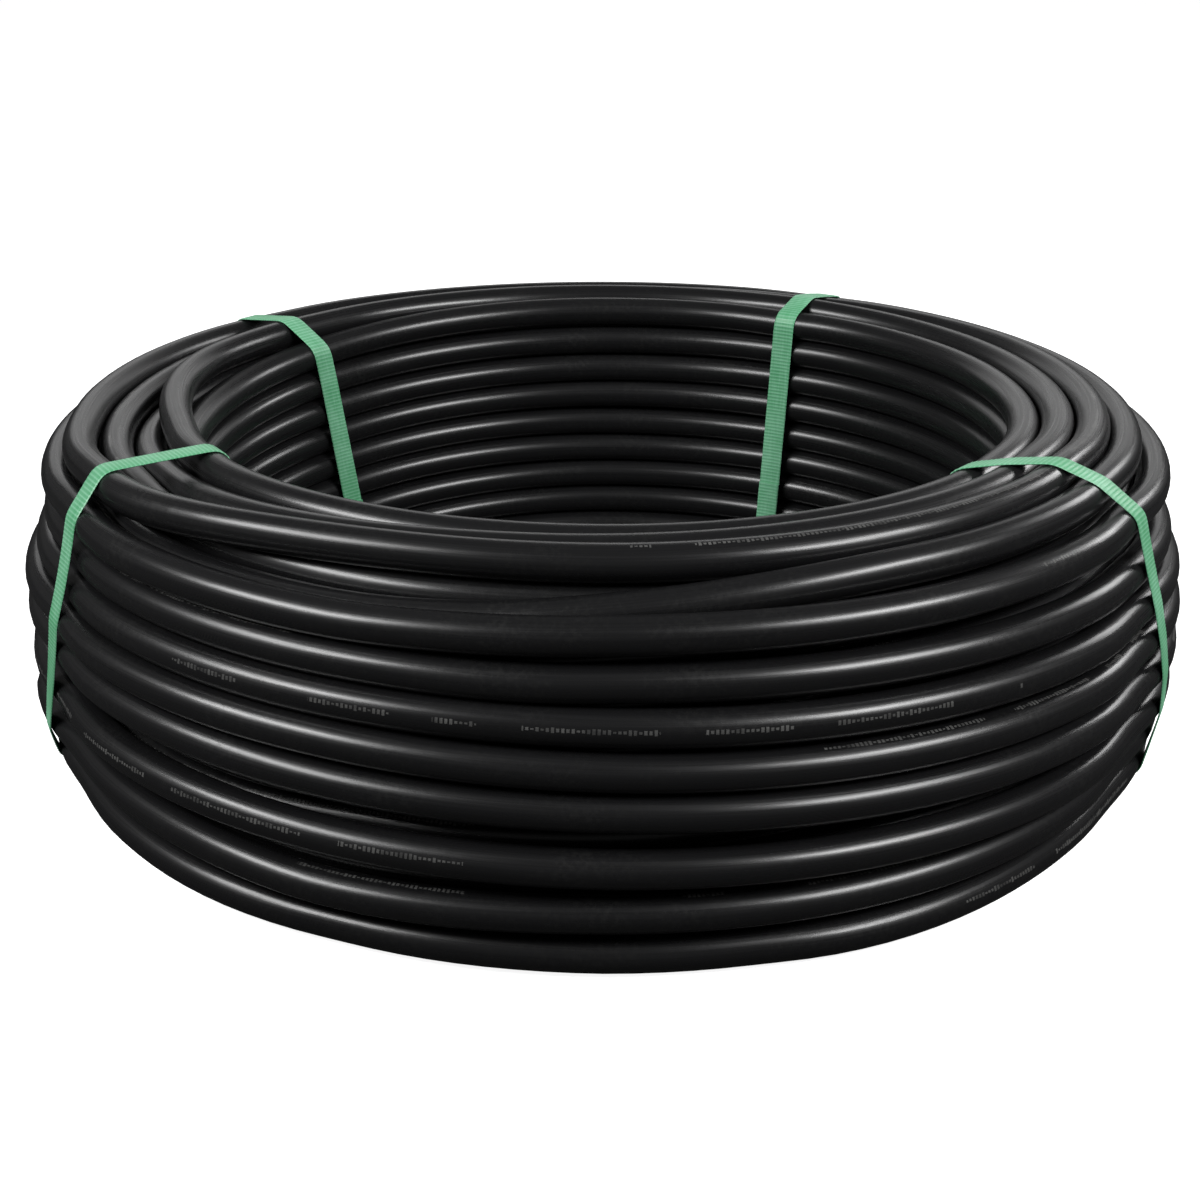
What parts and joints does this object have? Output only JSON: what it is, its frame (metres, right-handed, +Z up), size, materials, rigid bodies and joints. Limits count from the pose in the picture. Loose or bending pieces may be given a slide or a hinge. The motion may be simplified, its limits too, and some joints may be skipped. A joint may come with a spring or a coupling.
{
  "type": "coiled irrigation hose",
  "caption": "Flat-lying coil of plain black polyethylene irrigation hose, wound in five layers and bound by four green embossed plastic straps.",
  "frame": {"origin": "on the surface the coil lies on, at the middle of the coil's eye", "axes": "+Z up along the coil's axis; -Y is the front, midway between the two front straps"},
  "size_m": [0.57, 0.57, 0.169],
  "materials": {
    "hose": "satin extruded polyethylene with fine lengthwise lines",
    "strap": "embossed polypropylene strapping, low sheen"
  },
  "bodies": {
    "root": {"hose_layer_1": "hose", "hose_layer_2": "hose", "hose_layer_3": "hose", "hose_layer_4": "hose", "hose_layer_5": "hose", "hose_end_inner": "hose", "hose_end_outer": "hose", "strap_front_left": "strap", "strap_front_right": "strap", "strap_rear_right": "strap", "strap_rear_left": "strap", "strap_lap_front_left": "strap", "strap_lap_front_right": "strap", "strap_lap_rear_right": "strap", "strap_lap_rear_left": "strap"}
  },
  "joints": []
}
